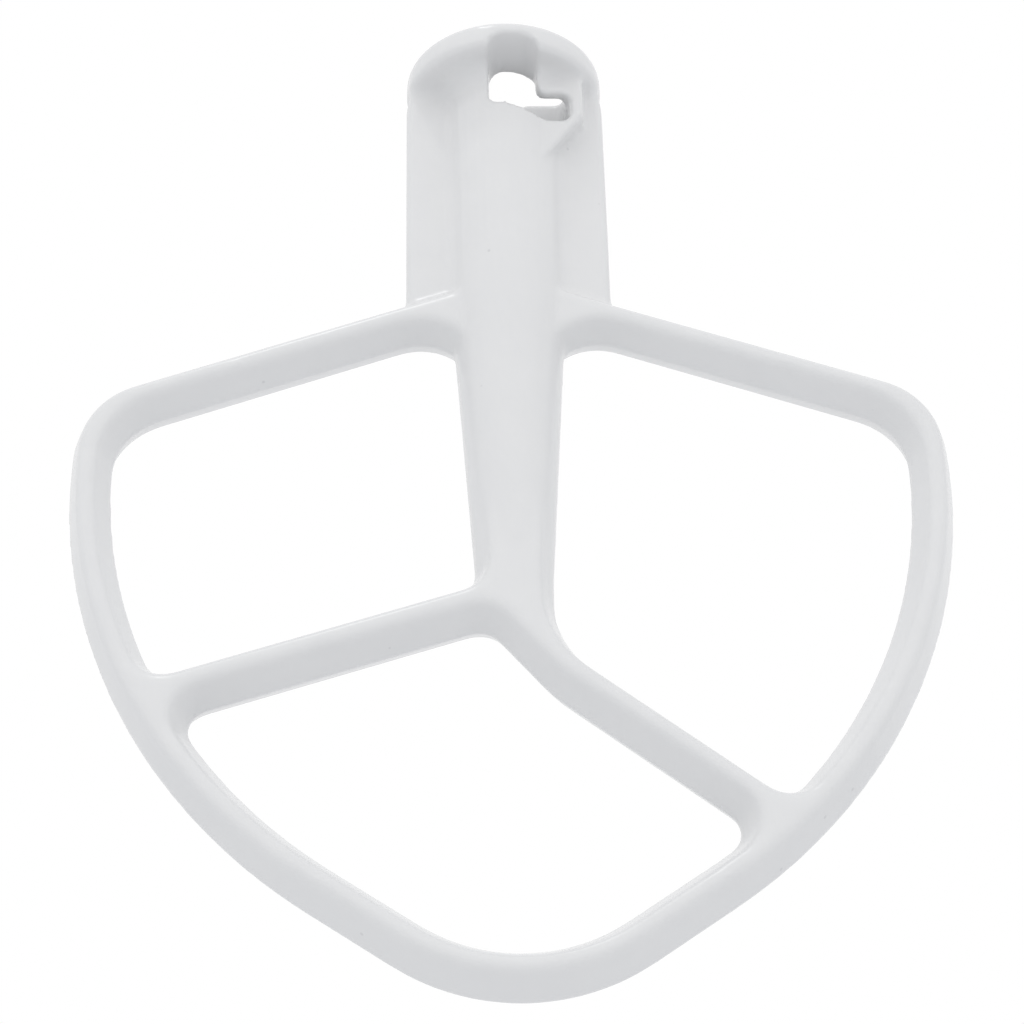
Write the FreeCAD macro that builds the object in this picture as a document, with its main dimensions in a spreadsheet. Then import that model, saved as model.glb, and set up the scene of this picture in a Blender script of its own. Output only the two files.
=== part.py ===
"""Flat beater for a stand mixer, one die casting of coated aluminium.

The drive shaft of the mixer enters the bore from above along +Z and its cross pin hangs in the seat at the
front of the hub. The origin is on the bore's axis at the height of that pin. The front is -Y.
"""
import FreeCAD, Part
import math
import os
import re

import Sketcher

V = FreeCAD.Vector

# Driving sizes in millimetres and degrees. A drop is a distance below the origin, but the channel's drops
# and the seat's roof are measured from the collar's top.
SIZES = {
    "bore_diameter": 12.9,
    "bore_depth": 34.0,
    "seat_width": 6.7,
    "seat_offset": 1.3,
    "seat_roof": 3.5,
    "seat_corner_radius": 2.0,
    "slot_draft_angle": 4.0,
    "channel_roof_drop": 8.4,
    "channel_floor_drop": 10.6,
    "channel_dip": 2.5,
    "channel_reach": 10.1,
    "channel_corner_radius": 1.0,
    "keyway_width": 10.6,
    "keyway_offset": 0.2,
    "keyway_corner_radius": 1.5,
    "collar_diameter": 32.2,
    "collar_rise": 8.0,
    "collar_height": 4.7,
    "collar_edge_radius": 1.4,
    "collar_rim_radius": 1.2,
    "cove_radius": 3.2,
    "hub_diameter": 19.4,
    "waist_diameter": 18.2,
    "waist_drop": 38.0,
    "waist_radius": 150.0,
    "stem_end_diameter": 11.7,
    "stem_end_drop": 86.0,
    "wing_thickness": 7.0,
    "wing_edge_radius": 1.2,
    "wing_root_radius": 2.2,
    "boss_wall": 2.6,
    "boss_depth": 7.6,
    "boss_side_drop": 4.2,
    "boss_drop": 17.0,
    "frame_width": 133.2,
    "tip_drop": 156.3,
    "flank_angle": 56.7,
    "flank_radius": 82.0,
    "tip_radius": 32.6,
    "shoulder_radius": 13.0,
    "side_width": 6.4,
    "bottom_width": 7.0,
    "arm_drop": 32.5,
    "arm_angle": 19.4,
    "arm_width": 6.0,
    "left_strut_drop": 89.2,
    "left_strut_foot": 29.6,
    "right_strut_drop": 96.7,
    "right_strut_foot": 48.0,
    "strut_width": 6.7,
    "root_radius": 3.2,
    "stem_root_radius": 7.5,
    "bend_radius": 14.0,
    "bend_lift": 2.0,
    "bend_reach": 5.0,
    "web_inset": 2.4,
    "draft_angle": 20.0,
    "arm_half_depth": 4.97,
    "tip_half_depth": 7.1,
    "ridge_chamfer": 0.45,
}

doc = FreeCAD.newDocument("flat_beater")
sheet = doc.addObject("Spreadsheet::Sheet", "Sizes")
for row, (alias, size) in enumerate(SIZES.items(), start=1):
    sheet.set(f"A{row}", alias)
    sheet.set(f"B{row}", str(size))
    sheet.setAlias(f"B{row}", alias)
doc.recompute()
ALIASES = sorted(SIZES, key=len, reverse=True)


def bound(formula):
    """The formula with each size written as a reference to its cell."""
    return re.sub(r"\b(" + "|".join(ALIASES) + r")\b", r"Sizes.\1", formula)


def value(formula):
    """The number that a formula of sizes gives now."""
    number = sheet.evalExpression(bound(formula))
    return float(getattr(number, "Value", number))


class Line:
    """A straight stretch of an outline, through two points given as formulas of sizes."""

    def __init__(self, start, end):
        self.anchors = (start, end)

    def solve(self):
        self.points = [V(value(x), value(y), 0) for x, y in self.anchors]
        self.direction = (self.points[1] - self.points[0]).normalize()


class Round:
    """A round stretch of an outline, about a centre; turn is 1 when it runs anticlockwise."""

    def __init__(self, centre, radius, turn):
        self.anchor = centre
        self.radius = radius
        self.turn = turn

    def solve(self):
        self.centre = V(value(self.anchor[0]), value(self.anchor[1]), 0)
        self.size = value(self.radius)


def foot(stretch, point):
    """The nearest place to a point on a stretch that is carried on without end."""
    if isinstance(stretch, Line):
        along = (point - stretch.points[0]).dot(stretch.direction)
        return stretch.points[0] + stretch.direction * along
    return stretch.centre + (point - stretch.centre).normalize() * stretch.size


def offset(stretch, distance):
    """A stretch moved to its left by a distance."""
    moved = Line(None, None) if isinstance(stretch, Line) else Round(None, None, stretch.turn)
    if isinstance(stretch, Line):
        side = V(-stretch.direction.y, stretch.direction.x, 0) * distance
        moved.points = [point + side for point in stretch.points]
        moved.direction = stretch.direction
    else:
        moved.centre = stretch.centre
        moved.size = stretch.size - stretch.turn * distance
    return moved


def crossing(first, second, near):
    """The place near a given point where two stretches cross."""
    if isinstance(first, Line) and isinstance(second, Line):
        gap = second.points[0] - first.points[0]
        cross = first.direction.cross(second.direction).z
        return first.points[0] + first.direction * (gap.cross(second.direction).z / cross)
    line, arc = (first, second) if isinstance(first, Line) else (second, first)
    middle = foot(line, arc.centre)
    reach = math.sqrt(arc.size ** 2 - (middle - arc.centre).Length ** 2)
    ends = [middle + line.direction * reach, middle - line.direction * reach]
    return min(ends, key=lambda place: (place - near).Length)


class Corner:
    """A round corner that joins two stretches; near is a place close to it."""

    def __init__(self, radius, near, turn):
        self.radius = radius
        self.near = near
        self.turn = turn

    def solve(self, first, second):
        self.size = value(self.radius)
        near = V(value(self.near[0]), value(self.near[1]), 0)
        shift = self.turn * self.size
        self.centre = crossing(offset(first, shift), offset(second, shift), near)
        self.start = foot(first, self.centre)
        self.end = foot(second, self.centre)


class Sharp:
    """A plain corner between two lines."""

    def solve(self, first, second):
        self.start = self.end = crossing(first, second, None)


class Smooth:
    """The place where a line runs on smoothly from a round stretch, or the other way."""

    def solve(self, first, second):
        line, arc = (first, second) if isinstance(first, Line) else (second, first)
        self.start = self.end = foot(line, arc.centre)


def arc_edge(centre, size, start, end, turn):
    """An arc from start to end, in the order that a sketch stores it."""
    if turn < 0:
        start, end = end, start
    angles = [math.atan2(place.y - centre.y, place.x - centre.x) for place in (start, end)]
    return Part.ArcOfCircle(Part.Circle(centre, V(0, 0, 1), size), *angles)


class Drawing:
    """Geometry and constraints gathered for one sketch, added together when it is done."""

    def __init__(self, sketch):
        self.sketch = sketch
        self.constraints = []
        self.formulas = {}

    def hold(self, *terms):
        self.constraints.append(Sketcher.Constraint(*terms))

    def measure(self, formula, *terms):
        """Adds a measured constraint that is bound to a formula of sizes."""
        self.formulas[len(self.constraints)] = formula
        self.hold(*terms, value(formula))

    def place(self, geometry, point, anchor):
        """Holds one point at a place given as two formulas."""
        for kind, formula in zip(("DistanceX", "DistanceY"), anchor):
            self.measure(formula, kind, geometry, point)

    def arc(self, centre, size, start, end, turn):
        """Adds an arc and says which of its end points come first and last along the outline."""
        made = self.sketch.addGeometry(arc_edge(centre, size, start, end, turn))
        return (made, 1, 2) if turn > 0 else (made, 2, 1)

    def finish(self):
        first = self.sketch.ConstraintCount
        self.sketch.addConstraint(self.constraints)
        for index, formula in self.formulas.items():
            self.sketch.setExpression(f"Constraints[{first + index}]", bound(formula))


def draw_outline(sketch, stretches, joints):
    """Draws a closed outline, with joints[i] between stretches[i] and the next, and ties it to the sheet."""
    for stretch in stretches:
        stretch.solve()
    count = len(stretches)
    for index, joint in enumerate(joints):
        joint.solve(stretches[index], stretches[(index + 1) % count])
    drawing = Drawing(sketch)
    ends = []
    sharp = set()
    for index, stretch in enumerate(stretches):
        before, joint = joints[index - 1], joints[index]
        if isinstance(stretch, Line):
            ends.append((sketch.addGeometry(Part.LineSegment(before.end, joint.start)), 1, 2))
            if isinstance(before, Sharp):
                sharp.add(ends[-1][0])
            for anchor, place in zip(stretch.anchors, stretch.points):
                mark = sketch.addGeometry(Part.Point(place), True)
                drawing.place(mark, 1, anchor)
                drawing.hold("PointOnObject", mark, 1, ends[-1][0])
        else:
            ends.append(drawing.arc(stretch.centre, stretch.size, before.end, joint.start, stretch.turn))
            drawing.measure(stretch.anchor[0], "DistanceX", ends[-1][0], 3)
            drawing.measure(stretch.radius, "Radius", ends[-1][0])
            if isinstance(before, Corner) and isinstance(joint, Corner):
                drawing.measure(stretch.anchor[1], "DistanceY", ends[-1][0], 3)
        if isinstance(joint, Corner):
            ends.append(drawing.arc(joint.centre, joint.size, joint.start, joint.end, joint.turn))
            drawing.measure(joint.radius, "Radius", ends[-1][0])
    for (first, _, first_end), (second, second_start, _) in zip(ends, ends[1:] + ends[:1]):
        drawing.hold("Coincident" if second in sharp else "Tangent", first, first_end, second, second_start)
    drawing.finish()


def closed(places):
    """Lines from each place to the next and back to the first."""
    return [Line(first, second) for first, second in zip(places, places[1:] + places[:1])]


def polygon(sketch, corners):
    """Draws a closed outline of straight lines through corners given as pairs of formulas."""
    places = [V(value(x), value(y), 0) for x, y in corners]
    drawing = Drawing(sketch)
    lines = [sketch.addGeometry(Part.LineSegment(first, second))
             for first, second in zip(places, places[1:] + places[:1])]
    for first, second in zip(lines, lines[1:] + lines[:1]):
        drawing.hold("Coincident", first, 2, second, 1)
    for line, corner in zip(lines, corners):
        drawing.place(line, 1, corner)
    drawing.finish()


body = doc.addObject("PartDesign::Body", "Beater")
body.Label = "flat_beater"


def origin_plane(role):
    """One of the body's own planes."""
    return next(item for item in body.Origin.OriginFeatures if item.Role == role)


def new_sketch(name, plane, height=None):
    """An empty sketch on one of the body's own planes, lifted by a formula of sizes if one is given."""
    sketch = body.newObject("Sketcher::SketchObject", name)
    sketch.AttachmentSupport = [(origin_plane(plane), "")]
    sketch.MapMode = "FlatFace"
    if height:
        sketch.setExpression("AttachmentOffset.Base.z", bound(height))
    return sketch


def feature(kind, name, **settings):
    """A feature of the body; a setting given as text is a formula of sizes unless it names a choice."""
    made = body.newObject("PartDesign::" + kind, name)
    for key, setting in settings.items():
        if isinstance(setting, str) and key not in ("SideType", "TransformMode"):
            made.setExpression(key, bound(setting))
        else:
            setattr(made, key, setting)
    doc.recompute()
    return made


def soften(kind, name, wanted, **size):
    """Rounds or bevels each edge of the body so far that the test picks."""
    base = body.Tip
    picked = [f"Edge{index}" for index, edge in enumerate(base.Shape.Edges, start=1) if wanted(edge)]
    return feature(kind, name, Base=(base, picked), **size)


# Edges of the frame on its mid plane, as formulas: x to the right and z up.
HALF = "frame_width / 2"
INNER_HALF = f"({HALF} - side_width)"
FLANK_RISE = "tan(90 - flank_angle)"
ARM_FALL = "tan(arm_angle)"
ARM_INNER = "arm_drop + arm_width / cos(arm_angle)"
TIP = "-tip_drop"
INNER_TIP = "-tip_drop + bottom_width / sin(flank_angle)"
INNER_RADIUS = "(flank_radius - side_width)"


def arm_line(side, drop):
    """Upper or lower edge of one arm, from the axis outwards."""
    return Line(("0", f"-({drop})"), (f"{side} * {HALF}", f"-({drop}) - {HALF} * {ARM_FALL}"))


def flank_line(side, tip):
    """Outer or inner edge of one flank near the tip, from the axis outwards."""
    return Line(("0", tip), (f"{side} * {HALF}", f"{tip} + {HALF} * {FLANK_RISE}"))


def flank_height(half, tip, radius):
    """Height of the centre of a bulging side."""
    return f"({tip} + {half} * {FLANK_RISE} + {radius} * tan(flank_angle / 2))"


def flank_round(side, half, tip, radius):
    """Outer or inner edge of one bulging side."""
    return Round((f"{side} * ({half} - {radius})", flank_height(half, tip, radius)), radius, 1)


def strut_line(hand, edge):
    """Upper (+1) or lower (-1) edge of a strut, from the axis to its foot on the inside of the loop."""
    side = -1 if hand == "left" else 1
    reach = f"({INNER_HALF} - {INNER_RADIUS} + {INNER_RADIUS} * cos({hand}_strut_foot))"
    centre = flank_height(INNER_HALF, INNER_TIP, INNER_RADIUS)
    height = f"({centre} - {INNER_RADIUS} * sin({hand}_strut_foot))"
    slope = f"(({height} + {hand}_strut_drop) / {reach})"
    lift = f"{edge} * strut_width / 2 * sqrt(1 + {slope} * {slope})"
    return Line(("0", f"-{hand}_strut_drop + {lift}"), (f"{side} * {reach}", f"{height} + {lift}"))


def bend_line():
    """Lower edge of the right strut close to the stem, steeper than the rest of it."""
    edge = strut_line("right", -1)
    (_, start), (reach, height) = edge.anchors
    return Line(("0", f"{start} + bend_lift"),
                ("bend_reach", f"{start} + ({height} - ({start})) / ({reach}) * bend_reach"))


def stem_line(side):
    """Edge of a window along the stem, sunk into the round surface at the arms and flush at the struts."""
    return Line((f"{side} * (waist_diameter / 2 - web_inset)", "-waist_drop"),
                (f"{side} * stem_end_diameter / 2", "-stem_end_drop"))


def reverse(line):
    """The same line, run the other way."""
    return Line(line.anchors[1], line.anchors[0])


def shoulder(side):
    """A place near the corner where an arm meets the side."""
    return (f"{side} * ({HALF} - shoulder_radius)", f"-arm_drop - {HALF} * {ARM_FALL} - shoulder_radius")


def outer_outline(sketch):
    """The outer edge of arms and loop."""
    draw_outline(
        sketch,
        [arm_line(-1, "arm_drop"), flank_round(-1, HALF, TIP, "flank_radius"), reverse(flank_line(-1, TIP)),
         flank_line(1, TIP), flank_round(1, HALF, TIP, "flank_radius"), reverse(arm_line(1, "arm_drop"))],
        [Corner("shoulder_radius", shoulder(-1), 1), Smooth(), Corner("tip_radius", ("0", TIP), 1), Smooth(),
         Corner("shoulder_radius", shoulder(1), 1), Corner("root_radius", ("0", "-arm_drop"), 1)])


def left_window(sketch):
    """The window between left arm, stem and left strut."""
    strut = reverse(strut_line("left", 1))
    draw_outline(
        sketch,
        [reverse(stem_line(-1)),
         arm_line(-1, ARM_INNER),
         flank_round(-1, INNER_HALF, INNER_TIP, INNER_RADIUS),
         strut],
        [Corner("stem_root_radius", ("-waist_diameter / 2", f"-({ARM_INNER})"), 1),
         Corner("shoulder_radius - arm_width / 2", shoulder(-1), 1),
         Corner("root_radius", strut.anchors[0], 1),
         Corner("root_radius", ("-stem_end_diameter", "-stem_end_drop"), 1)])


def right_window(sketch):
    """The window between right arm, stem and right strut."""
    strut = strut_line("right", 1)
    draw_outline(
        sketch,
        [stem_line(1),
         strut,
         flank_round(1, INNER_HALF, INNER_TIP, INNER_RADIUS),
         reverse(arm_line(1, ARM_INNER))],
        [Corner("bend_radius", ("bend_radius", "-stem_end_drop"), 1),
         Corner("root_radius", strut.anchors[1], 1),
         Corner("shoulder_radius - arm_width / 2", shoulder(1), 1),
         Corner("stem_root_radius", ("waist_diameter / 2", f"-({ARM_INNER})"), 1)])


def lower_window(sketch):
    """The window below the two struts."""
    left, right = strut_line("left", -1), reverse(strut_line("right", -1))
    draw_outline(
        sketch,
        [left,
         flank_round(-1, INNER_HALF, INNER_TIP, INNER_RADIUS),
         reverse(flank_line(-1, INNER_TIP)),
         flank_line(1, INNER_TIP),
         flank_round(1, INNER_HALF, INNER_TIP, INNER_RADIUS),
         right,
         reverse(bend_line())],
        [Corner("root_radius", left.anchors[1], 1),
         Smooth(),
         Corner("tip_radius - bottom_width", ("0", TIP), 1),
         Smooth(),
         Corner("root_radius", right.anchors[0], 1),
         Corner("bend_radius", right.anchors[1], -1),
         Corner("root_radius", right.anchors[1], 1)])


def check(item):
    """Stops the build when a feature did not work out."""
    if "Invalid" in item.State or "Error" in item.State:
        raise RuntimeError(f"{item.Name} failed: {item.State}")


def make_frame():
    """The front half of the loop, arms and struts, with upright sides."""
    outline = new_sketch("outer_outline", "XZ_Plane")
    outer_outline(outline)
    doc.recompute()
    feature("Pad", "loop", Profile=outline, Length="tip_half_depth")
    for draw in (left_window, right_window, lower_window):
        window = new_sketch(draw.__name__ + "_outline", "XZ_Plane")
        draw(window)
        doc.recompute()
        feature("Pocket", draw.__name__, Profile=window, Reversed=True, Length="tip_half_depth")
    sides = [f"Face{index}" for index, face in enumerate(body.Shape.Faces, start=1)
             if abs(face.normalAt(*face.Surface.parameter(face.CenterOfMass)).y) < 0.5]
    middle = [f"Face{index}" for index, face in enumerate(body.Shape.Faces, start=1)
              if face.BoundBox.YLength < 1e-6 and abs(face.BoundBox.YMax) < 1e-6]
    feature("Draft", "draft", Base=(body.Tip, sides), NeutralPlane=(body.Tip, middle), Angle="draft_angle",
            Reversed=True)
    doc.recompute()


def half_depth(height):
    """Half of the frame's depth at a height, between the arms' root and the tip."""
    share = (-height - value("arm_drop")) / (value("tip_drop") - value("arm_drop"))
    return value("arm_half_depth") + share * (value("tip_half_depth") - value("arm_half_depth"))


def on_ridge(edge):
    """Whether an edge borders a front or back face of the frame."""
    ends = [edge.valueAt(edge.FirstParameter), edge.valueAt(edge.LastParameter)]
    ends.append(edge.valueAt((edge.FirstParameter + edge.LastParameter) / 2))
    return all(abs(abs(place.y) - half_depth(place.z)) < 1e-4 for place in ends)


def make_bevel():
    """Leans the front face of the frame, so that it is deepest at the tip, and bevels its edges."""
    sketch = new_sketch("depth_profile", "YZ_Plane")
    polygon(sketch, [("-arm_half_depth", "-arm_drop"), ("-2 * tip_half_depth", "-arm_drop"),
                     ("-2 * tip_half_depth", TIP), ("-tip_half_depth", TIP)])
    doc.recompute()
    feature("Pocket", "depth_taper", Profile=sketch, SideType="Symmetric", Length="2 * frame_width")
    soften("Chamfer", "ridge_edges", on_ridge, Size="ridge_chamfer")


def make_back():
    """The back half of the frame."""
    middle = (origin_plane("XZ_Plane"), [""])
    feature("Mirrored", "back_half", MirrorPlane=middle, TransformMode="Whole shape")
    body.Tip = doc.getObject("back_half")
    doc.recompute()


UNDERSIDE = "collar_rise - collar_height"
COLLAR_MIDDLE = "collar_rise - collar_height / 2"


def make_stem():
    """The round stem and its collar, turned in one."""
    sketch = new_sketch("stem_profile", "XZ_Plane")
    nose = "-left_strut_drop"
    rim = "collar_diameter / 2"
    places = [("0", nose), ("stem_end_diameter / 2", nose), ("stem_end_diameter / 2", "-stem_end_drop"),
              ("waist_diameter / 2", "-waist_drop"), ("hub_diameter / 2", UNDERSIDE), (rim, UNDERSIDE),
              (rim, "collar_rise"), ("0", "collar_rise")]
    lines = closed(places)
    del lines[1]
    draw_outline(sketch, lines,
                 [Sharp(), Corner("waist_radius", ("0", "-waist_drop"), 1),
                  Corner("cove_radius", places[5], -1), Corner("collar_rim_radius", places[5], 1),
                  Corner("collar_edge_radius", places[6], 1), Sharp(), Sharp()])
    doc.recompute()
    feature("Revolution", "stem", Profile=sketch, ReferenceAxis=(sketch, ["V_Axis"]), Angle=360.0)


def make_wings():
    """The flat web that carries the arms, on both sides of the stem."""
    sketch = new_sketch("wing_outline", "XZ_Plane")
    foot_drop = "arm_drop + arm_width / 2"
    side = "collar_diameter / 2"
    fall = f"-({foot_drop}) - {side} * {ARM_FALL}"
    shoulder_height = f"{UNDERSIDE} - cove_radius"
    chord = "sqrt(collar_diameter * collar_diameter - wing_thickness * wing_thickness)"
    neck = f"{chord} / 2 - collar_rim_radius / 2"
    polygon(sketch, [(f"-({neck})", COLLAR_MIDDLE), (f"-{side}", shoulder_height), (f"-{side}", fall),
                     ("0", f"-({foot_drop})"), (side, fall), (side, shoulder_height), (neck, COLLAR_MIDDLE)])
    doc.recompute()
    feature("Pad", "wings", Profile=sketch, SideType="Symmetric", Length="wing_thickness")


def on_wing_end(edge):
    """Whether an edge is an upright one at a wing's outer end."""
    box = edge.BoundBox
    return (abs(abs(box.XMin) - value("collar_diameter / 2")) < 1e-3
            and max(box.XLength, box.YLength) < 1e-3
            and box.ZLength > value("wing_thickness"))


def on_wing_root(edge):
    """Whether a wing meets the stem along an edge."""
    box = edge.BoundBox
    return (abs(abs(box.YMin) - value("wing_thickness / 2")) < 1e-3
            and box.YLength < 1e-3
            and box.ZLength > value("wing_thickness")
            and box.ZMin > -value("arm_drop + 2 * arm_width")
            and max(-box.XMin, box.XMax) < value("hub_diameter / 2"))


def make_boss():
    """The raised housing of the pin's entry, right of the stem."""
    sketch = new_sketch("boss_outline", "XZ_Plane")
    root = "bore_diameter / 4"
    reach = "channel_reach + boss_wall"
    polygon(sketch, [(root, COLLAR_MIDDLE),
                     (root, "-boss_drop"),
                     (reach, "-boss_side_drop"),
                     (reach, COLLAR_MIDDLE)])
    doc.recompute()
    feature("Pad", "boss", Profile=sketch, SideType="Symmetric", Length="2 * boss_depth")


def make_bore():
    """The blind bore for the drive shaft."""
    sketch = new_sketch("bore_outline", "XY_Plane", "collar_rise")
    drawing = Drawing(sketch)
    ring = sketch.addGeometry(Part.Circle(V(0, 0, 0), V(0, 0, 1), value("bore_diameter / 2")))
    drawing.hold("Coincident", ring, 3, -1, 1)
    drawing.measure("bore_diameter / 2", "Radius", ring)
    drawing.finish()
    doc.recompute()
    feature("Pocket", "bore", Profile=sketch, Length="bore_depth")


def make_keyway():
    """The way in for the shaft's pin, down the right side of the bore."""
    sketch = new_sketch("keyway_outline", "XY_Plane", "collar_rise")
    near, far = "-keyway_offset - keyway_width / 2", "-keyway_offset + keyway_width / 2"
    places = [("0", near), ("channel_reach", near), ("channel_reach", far), ("0", far)]
    draw_outline(sketch, closed(places), [Corner("keyway_corner_radius", places[1], 1),
                                          Corner("keyway_corner_radius", places[2], 1), Sharp(), Sharp()])
    doc.recompute()
    feature("Pocket", "keyway", Profile=sketch, Length="channel_floor_drop + channel_dip")


def make_slot():
    """The slot that the pin turns through to its seat, wider towards the front of the hub."""
    sketch = new_sketch("slot_outline", "XZ_Plane")
    left, right = "seat_offset - seat_width / 2", "seat_offset + seat_width / 2"
    roof, ceiling = "collar_rise - seat_roof", "collar_rise - channel_roof_drop"
    floor = "collar_rise - channel_floor_drop"
    low = f"{floor} - channel_dip"
    dip = "channel_reach - channel_dip"
    places = [(left, floor), ("0", floor), (dip, low), ("channel_reach", low), ("channel_reach", ceiling),
              (right, ceiling), (right, roof), (left, roof)]
    draw_outline(sketch, closed(places),
                 [Corner("seat_corner_radius", places[1], -1),
                  Sharp(),
                  Corner("channel_corner_radius", places[3], 1),
                  Corner("channel_corner_radius", places[4], 1),
                  Corner("seat_corner_radius", places[5], -1),
                  Corner("seat_corner_radius", places[6], 1),
                  Corner("seat_corner_radius", places[7], 1),
                  Corner("channel_corner_radius", places[0], 1)])
    doc.recompute()
    reach = "collar_diameter / 2 + collar_edge_radius"
    feature("Pocket", "pin_slot", Profile=sketch, Reversed=True, Length=reach, TaperAngle="slot_draft_angle")


make_frame()
make_bevel()
make_back()
make_wings()
soften("Fillet", "wing_ends", on_wing_end, Radius="wing_edge_radius")
make_stem()
soften("Fillet", "wing_roots", on_wing_root, Radius="wing_root_radius")
make_boss()
make_bore()
make_keyway()
make_slot()
doc.recompute()
for item in doc.Objects:
    check(item)
shape = body.Shape
if shape.isNull() or not shape.isValid() or len(shape.Solids) != 1:
    raise RuntimeError("the beater is not one valid solid")
os.makedirs("parts", exist_ok=True)
shape.exportStep(f"parts/{body.Label}.step")
print(f"volume {shape.Volume:.0f} mm3")
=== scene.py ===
import math

import bpy
from bpy.props import FloatProperty, FloatVectorProperty, IntProperty, PointerProperty
from bpy.types import Operator, Panel, PropertyGroup
from mathutils import Euler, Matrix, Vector


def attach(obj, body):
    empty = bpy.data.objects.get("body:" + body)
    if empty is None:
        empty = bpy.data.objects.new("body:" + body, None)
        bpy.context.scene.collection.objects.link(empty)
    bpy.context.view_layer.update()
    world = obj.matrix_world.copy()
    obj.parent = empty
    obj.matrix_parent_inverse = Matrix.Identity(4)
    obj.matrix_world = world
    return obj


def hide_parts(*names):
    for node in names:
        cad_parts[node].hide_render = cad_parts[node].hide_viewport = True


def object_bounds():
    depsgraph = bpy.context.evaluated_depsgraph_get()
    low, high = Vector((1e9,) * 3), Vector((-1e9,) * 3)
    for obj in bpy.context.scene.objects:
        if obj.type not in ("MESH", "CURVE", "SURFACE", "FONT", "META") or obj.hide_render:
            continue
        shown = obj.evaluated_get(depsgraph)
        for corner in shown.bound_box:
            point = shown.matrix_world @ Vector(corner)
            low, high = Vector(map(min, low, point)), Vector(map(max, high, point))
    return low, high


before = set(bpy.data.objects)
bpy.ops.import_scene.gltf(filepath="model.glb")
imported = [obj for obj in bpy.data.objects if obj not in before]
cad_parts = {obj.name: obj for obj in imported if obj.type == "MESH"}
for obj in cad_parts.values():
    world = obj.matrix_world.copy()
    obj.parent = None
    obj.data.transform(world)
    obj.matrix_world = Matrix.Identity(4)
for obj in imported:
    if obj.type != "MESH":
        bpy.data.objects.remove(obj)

bl_info = {
    "name": "Flat Beater",
    "version": (1, 0, 0),
    "blender": (4, 5, 0),
    "location": "View3D > Sidebar > Flat Beater",
    "description": "Coats the cast flat beater of a stand mixer and sets it on a white stage",
    "category": "Object",
}

CAD_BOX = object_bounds()
CASTING = "flat_beater"
WHITE = (1.0, 1.0, 1.0, 1.0)

# The coating's fine grain. Scales count patches to the metre.
SPECULAR_LEVEL = 0.4
TONE_SCALE = 160.0
TONE_DETAIL = 4.0
SPECK_SCALE = 140.0
SPECK_CORE = 0.03
SPECK_RIM = 0.05
SPECK_STRENGTH = 0.5
ROUGHNESS_SPREAD = 0.03
PEEL_DETAIL = 1.0
PEEL_STRENGTH = 0.6

# How far a point of the skin moves towards its neighbours each time the coating evens out.
FLOW_FACTOR = 0.5

FLOOR_ROUGHNESS = 0.8
SENSOR_WIDTH = 36.0
NEAREST_SEEN = 0.01


class BeaterCoating(PropertyGroup):
    """Finish of the white coating on the casting."""

    colour: FloatVectorProperty(
        name="Colour", description="Colour of the coating",
        subtype="COLOR", size=3, min=0.0, max=1.0, default=(0.81, 0.81, 0.81))
    shade: FloatVectorProperty(
        name="Shade", description="Colour where the coating is thinnest",
        subtype="COLOR", size=3, min=0.0, max=1.0, default=(0.775, 0.777, 0.78))
    speck: FloatVectorProperty(
        name="Speck", description="Colour of the few dust specks under the coating",
        subtype="COLOR", size=3, min=0.0, max=1.0, default=(0.60, 0.60, 0.61))
    roughness: FloatProperty(
        name="Roughness", description="How dull the coating is",
        subtype="FACTOR", default=0.24, min=0.0, max=1.0)
    cell: FloatProperty(
        name="Cell", description="Size of the cells that the coated skin is made of",
        unit="LENGTH", default=0.00048, min=0.0003, max=0.002)
    hub_flow: IntProperty(
        name="Hub Flow", description="How often the wet coating evens out over all edges",
        default=3, min=0, max=40)
    frame_flow: IntProperty(
        name="Frame Flow", description="How often it evens out further over the frame's edges",
        default=20, min=0, max=40)
    frame_top: FloatProperty(
        name="Frame Top", description="Height below which the frame's softer edges begin",
        unit="LENGTH", default=-0.026)
    frame_blend: FloatProperty(
        name="Frame Blend", description="Height over which the edges grow softer",
        unit="LENGTH", default=0.012, min=0.001)
    kept_share: FloatProperty(
        name="Kept Share", description="Share of the skin's faces that is kept",
        subtype="FACTOR", default=0.7, min=0.05, max=1.0)
    peel_size: FloatProperty(
        name="Peel Size", description="Width of the ripples in the coating",
        unit="LENGTH", default=0.0016, min=0.0002, max=0.02)
    peel_depth: FloatProperty(
        name="Peel Depth", description="Depth of the ripples in the coating",
        unit="LENGTH", default=0.00002, min=0.0, max=0.001)


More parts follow.
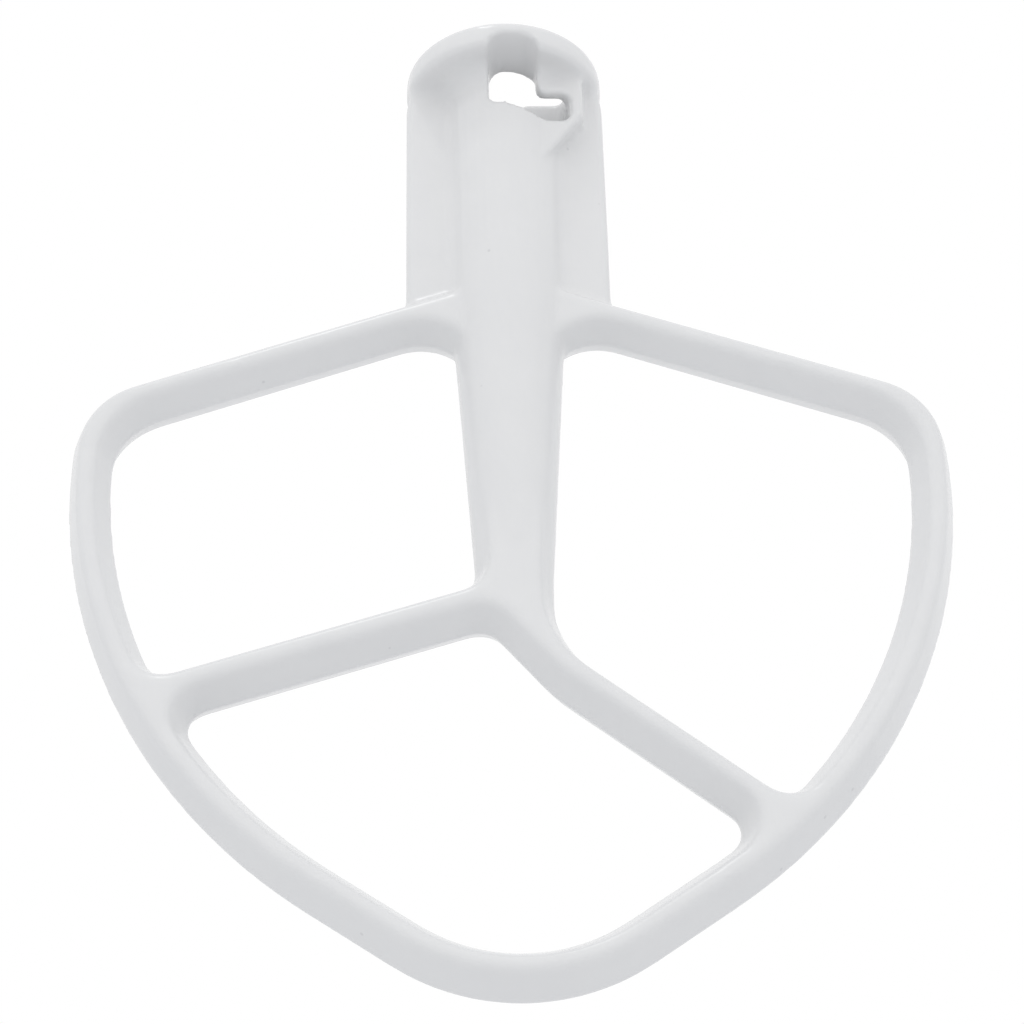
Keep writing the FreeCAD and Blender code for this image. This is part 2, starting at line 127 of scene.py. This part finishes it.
class BeaterStage(PropertyGroup):
    """Camera, light and floor."""

    aim: FloatVectorProperty(
        name="Aim", description="Place that the camera and the lamp point at",
        subtype="TRANSLATION", unit="LENGTH", size=3, default=(-0.00044, 0.0, -0.07432))
    distance: FloatProperty(
        name="Distance", description="From the camera to its aim",
        unit="LENGTH", default=0.3425, min=0.05)
    rise: FloatProperty(
        name="Rise", description="Angle at which the camera looks upwards",
        subtype="ANGLE", default=math.radians(29.56))
    turn: FloatProperty(
        name="Turn", description="Angle at which the camera stands left of the front",
        subtype="ANGLE", default=math.radians(1.716))
    roll: FloatProperty(
        name="Roll", description="Turn of the camera about its line of sight",
        subtype="ANGLE", default=math.radians(-1.305))
    lens: FloatProperty(
        name="Lens", description="Focal length in millimetres", default=80.34, min=10.0)
    shift: FloatProperty(
        name="Shift", description="Sideways shift of the picture", default=0.00176)
    dome: FloatProperty(
        name="Dome", description="Strength of the light from all round", default=1.15, min=0.0)
    front: FloatVectorProperty(
        name="Front", description="Colour of the light from the front",
        subtype="COLOR", size=3, min=0.0, max=1.0, default=(1.0, 1.0, 1.0))
    back: FloatVectorProperty(
        name="Back", description="Colour of the light from behind",
        subtype="COLOR", size=3, min=0.0, max=1.0, default=(0.53, 0.545, 0.575))
    away: FloatVectorProperty(
        name="Away", description="Direction in which the light is dimmest",
        subtype="DIRECTION", size=3, default=(0.0, 0.95, 0.3))
    key: FloatProperty(
        name="Key", description="Power of the lamp above the beater",
        unit="POWER", default=0.4, min=0.0)
    key_place: FloatVectorProperty(
        name="Key Place", description="Where the lamp hangs",
        subtype="TRANSLATION", unit="LENGTH", size=3, default=(-0.15, -0.3, 0.65))
    key_size: FloatProperty(
        name="Key Size", description="Width of the lamp",
        unit="LENGTH", default=0.1, min=0.001)
    floor_drop: FloatProperty(
        name="Floor Drop", description="How far the floor lies below the tip",
        unit="LENGTH", default=0.13)
    floor_size: FloatProperty(
        name="Floor Size", description="Width of the floor",
        unit="LENGTH", default=12.0)
    floor_colour: FloatVectorProperty(
        name="Floor Colour", description="Colour of the floor",
        subtype="COLOR", size=3, min=0.0, max=1.0, default=(0.93, 0.93, 0.93))


def opaque(colour):
    """A colour as a shader socket takes it."""
    return (*colour, 1.0)


def link(tree, start, end):
    """Joins two sockets of a node tree."""
    tree.links.new(start, end)


def node(tree, kind, place, **settings):
    """A shader node at its place in the tree, with its settings."""
    made = tree.nodes.new("ShaderNode" + kind)
    made.location = place
    for name, setting in settings.items():
        setattr(made, name, setting)
    return made


def coating_material(settings):
    """White coating with a faint ripple, a slightly uneven tone and a few specks."""
    material = bpy.data.materials.new("white_coating")
    material.use_nodes = True
    tree = material.node_tree
    shader = tree.nodes["Principled BSDF"]
    shader.inputs["Specular IOR Level"].default_value = SPECULAR_LEVEL
    place = node(tree, "TexCoord", (-1100, 0))
    tone = node(tree, "TexNoise", (-860, 220))
    tone.inputs["Scale"].default_value = TONE_SCALE
    tone.inputs["Detail"].default_value = TONE_DETAIL
    link(tree, place.outputs["Object"], tone.inputs["Vector"])
    tint = node(tree, "Mix", (-640, 220), data_type="RGBA")
    tint.inputs["A"].default_value = opaque(settings.shade)
    tint.inputs["B"].default_value = opaque(settings.colour)
    link(tree, tone.outputs["Fac"], tint.inputs["Factor"])
    dust = node(tree, "TexVoronoi", (-860, -60))
    dust.inputs["Scale"].default_value = SPECK_SCALE
    link(tree, place.outputs["Object"], dust.inputs["Vector"])
    spot = node(tree, "MapRange", (-640, -60))
    spot.inputs["From Min"].default_value = SPECK_CORE
    spot.inputs["From Max"].default_value = SPECK_RIM
    spot.inputs["To Min"].default_value = SPECK_STRENGTH
    spot.inputs["To Max"].default_value = 0.0
    link(tree, dust.outputs["Distance"], spot.inputs["Value"])
    blend = node(tree, "Mix", (-380, 160), data_type="RGBA")
    link(tree, spot.outputs["Result"], blend.inputs["Factor"])
    link(tree, tint.outputs["Result"], blend.inputs["A"])
    blend.inputs["B"].default_value = opaque(settings.speck)
    link(tree, blend.outputs["Result"], shader.inputs["Base Color"])
    gloss = node(tree, "MapRange", (-640, -320))
    gloss.inputs["To Min"].default_value = settings.roughness - ROUGHNESS_SPREAD
    gloss.inputs["To Max"].default_value = settings.roughness + ROUGHNESS_SPREAD
    link(tree, tone.outputs["Fac"], gloss.inputs["Value"])
    link(tree, gloss.outputs["Result"], shader.inputs["Roughness"])
    peel = node(tree, "TexNoise", (-640, -560))
    peel.inputs["Scale"].default_value = 1.0 / settings.peel_size
    peel.inputs["Detail"].default_value = PEEL_DETAIL
    link(tree, place.outputs["Object"], peel.inputs["Vector"])
    ripple = node(tree, "Bump", (-380, -480))
    ripple.inputs["Strength"].default_value = PEEL_STRENGTH
    ripple.inputs["Distance"].default_value = settings.peel_depth
    link(tree, peel.outputs["Fac"], ripple.inputs["Height"])
    link(tree, ripple.outputs["Normal"], shader.inputs["Normal"])
    return material


def remeshed_casting(cell):
    """The casting's mesh made anew from even cells, so that its corners can flow."""
    source = bpy.data.objects.new("casting_copy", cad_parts[CASTING].data)
    bpy.context.collection.objects.link(source)
    skin = source.modifiers.new("skin", "REMESH")
    skin.mode = "VOXEL"
    skin.voxel_size = cell
    skin.use_smooth_shade = True
    remade = source.evaluated_get(bpy.context.evaluated_depsgraph_get())
    mesh = bpy.data.meshes.new_from_object(remade)
    bpy.data.objects.remove(source)
    return mesh


def coated_copy(settings):
    """A copy of the casting, with edges softened a little on the hub and more on the frame."""
    piece = bpy.data.objects.new("coated_beater", remeshed_casting(settings.cell))
    bpy.context.collection.objects.link(piece)
    frame_part = piece.vertex_groups.new(name="frame")
    for point in piece.data.vertices:
        share = (settings.frame_top - point.co.z) / settings.frame_blend
        if share > 0.0:
            frame_part.add([point.index], min(share, 1.0), "REPLACE")
    flows = (("flow", settings.hub_flow, ""), ("frame_flow", settings.frame_flow, "frame"))
    for name, times, group in flows:
        flow = piece.modifiers.new(name, "SMOOTH")
        flow.factor = FLOW_FACTOR
        flow.iterations = times
        flow.vertex_group = group
    thin = piece.modifiers.new("thin", "DECIMATE")
    thin.ratio = settings.kept_share
    return piece


class FLATBEATER_OT_coat(Operator):
    """Gives the casting its white coating"""

    bl_idname = "flatbeater.coat"
    bl_label = "Coat Casting"

    def execute(self, context):
        settings = context.scene.beater_coating
        piece = coated_copy(settings)
        piece.data.materials.clear()
        piece.data.materials.append(coating_material(settings))
        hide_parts(CASTING)
        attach(piece, "root")
        return {"FINISHED"}


def white_world(settings):
    """A soft dome of light, dimmer behind the beater.

    The camera and reflections see it as plain white.
    """
    world = bpy.data.worlds.new("white_dome")
    world.use_nodes = True
    tree = world.node_tree
    dome = tree.nodes["Background"]
    dome.inputs["Strength"].default_value = settings.dome
    way = node(tree, "TexCoord", (-1000, 0))
    along = node(tree, "VectorMath", (-800, 0), operation="DOT_PRODUCT")
    link(tree, way.outputs["Generated"], along.inputs[0])
    along.inputs[1].default_value = settings.away
    depth = node(tree, "MapRange", (-600, 0))
    depth.inputs["From Min"].default_value = -1.0
    depth.inputs["From Max"].default_value = 1.0
    link(tree, along.outputs["Value"], depth.inputs["Value"])
    tint = node(tree, "Mix", (-400, 0), data_type="RGBA")
    tint.inputs["A"].default_value = opaque(settings.front)
    tint.inputs["B"].default_value = opaque(settings.back)
    link(tree, depth.outputs["Result"], tint.inputs["Factor"])
    link(tree, tint.outputs["Result"], dome.inputs["Color"])
    seen = node(tree, "Background", (0, -160))
    seen.inputs["Color"].default_value = WHITE
    rays = node(tree, "LightPath", (-600, 200))
    mirrored = node(tree, "Math", (-400, 200), operation="MAXIMUM")
    link(tree, rays.outputs["Is Glossy Ray"], mirrored.inputs[0])
    link(tree, rays.outputs["Is Transmission Ray"], mirrored.inputs[1])
    direct = node(tree, "Math", (-200, 200), operation="MAXIMUM")
    link(tree, rays.outputs["Is Camera Ray"], direct.inputs[0])
    link(tree, mirrored.outputs["Value"], direct.inputs[1])
    choice = node(tree, "MixShader", (220, 60))
    link(tree, direct.outputs["Value"], choice.inputs["Fac"])
    link(tree, dome.outputs["Background"], choice.inputs[1])
    link(tree, seen.outputs["Background"], choice.inputs[2])
    link(tree, choice.outputs["Shader"], tree.nodes["World Output"].inputs["Surface"])
    return world


def key_lamp(settings):
    """A square lamp above the beater that shines down on it."""
    lamp = bpy.data.lights.new("key_lamp", "AREA")
    lamp.shape = "SQUARE"
    lamp.size = settings.key_size
    lamp.energy = settings.key
    holder = bpy.data.objects.new("key_lamp", lamp)
    holder.location = settings.key_place
    beam = Vector(settings.aim) - Vector(settings.key_place)
    holder.rotation_euler = beam.to_track_quat("-Z", "Y").to_euler()
    bpy.context.collection.objects.link(holder)


def floor_plane(settings):
    """The pale floor below the hanging beater."""
    half = settings.floor_size / 2
    level = CAD_BOX[0][2] - settings.floor_drop
    corners = [(x * half, y * half, level) for x, y in ((-1, -1), (1, -1), (1, 1), (-1, 1))]
    mesh = bpy.data.meshes.new("floor")
    mesh.from_pydata(corners, [], [(0, 1, 2, 3)])
    floor = bpy.data.objects.new("floor", mesh)
    bpy.context.collection.objects.link(floor)
    material = bpy.data.materials.new("pale_floor")
    material.use_nodes = True
    shader = material.node_tree.nodes["Principled BSDF"]
    shader.inputs["Base Color"].default_value = opaque(settings.floor_colour)
    shader.inputs["Roughness"].default_value = FLOOR_ROUGHNESS
    mesh.materials.append(material)


def photo_camera(settings):
    """A camera in front of the beater and below it, looking up at its frame."""
    lens = bpy.data.cameras.new("camera")
    lens.lens = settings.lens
    lens.sensor_width = SENSOR_WIDTH
    lens.shift_x = settings.shift
    lens.clip_start = NEAREST_SEEN
    holder = bpy.data.objects.new("camera", lens)
    ahead = Vector((0.0, math.cos(settings.rise), math.sin(settings.rise)))
    ahead.rotate(Euler((0.0, 0.0, -settings.turn)))
    holder.location = Vector(settings.aim) - ahead * settings.distance
    level = ahead.to_track_quat("-Z", "Y").to_matrix()
    tilt = Euler((0.0, 0.0, settings.roll)).to_matrix()
    holder.rotation_euler = (level @ tilt).to_euler()
    bpy.context.collection.objects.link(holder)
    bpy.context.scene.camera = holder


class FLATBEATER_OT_stage(Operator):
    """Sets the white stage, its lamp and the camera"""

    bl_idname = "flatbeater.stage"
    bl_label = "Set Stage"

    def execute(self, context):
        settings = context.scene.beater_stage
        scene = context.scene
        scene.view_settings.view_transform = "Standard"
        scene.world = white_world(settings)
        floor_plane(settings)
        key_lamp(settings)
        photo_camera(settings)
        return {"FINISHED"}


class FLATBEATER_PT_panel(Panel):
    """Lists the steps that dress the beater and their settings"""

    bl_idname = "FLATBEATER_PT_panel"
    bl_label = "Flat Beater"
    bl_space_type = "VIEW_3D"
    bl_region_type = "UI"
    bl_category = "Flat Beater"

    def draw(self, context):
        layout = self.layout
        for step, settings in ((FLATBEATER_OT_coat, context.scene.beater_coating),
                               (FLATBEATER_OT_stage, context.scene.beater_stage)):
            box = layout.box()
            box.operator(step.bl_idname)
            for name in settings.__annotations__:
                box.prop(settings, name)


CLASSES = (
    BeaterCoating,
    BeaterStage,
    FLATBEATER_OT_coat,
    FLATBEATER_OT_stage,
    FLATBEATER_PT_panel,
)


def register():
    """Makes the settings, steps and panel known."""
    for cls in CLASSES:
        bpy.utils.register_class(cls)
    bpy.types.Scene.beater_coating = PointerProperty(type=BeaterCoating)
    bpy.types.Scene.beater_stage = PointerProperty(type=BeaterStage)


def unregister():
    """Takes the settings, steps and panel away again."""
    del bpy.types.Scene.beater_stage
    del bpy.types.Scene.beater_coating
    for cls in reversed(CLASSES):
        bpy.utils.unregister_class(cls)


def main():
    """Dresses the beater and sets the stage."""
    register()
    bpy.ops.flatbeater.coat()
    bpy.ops.flatbeater.stage()


if __name__ == "__main__":
    main()
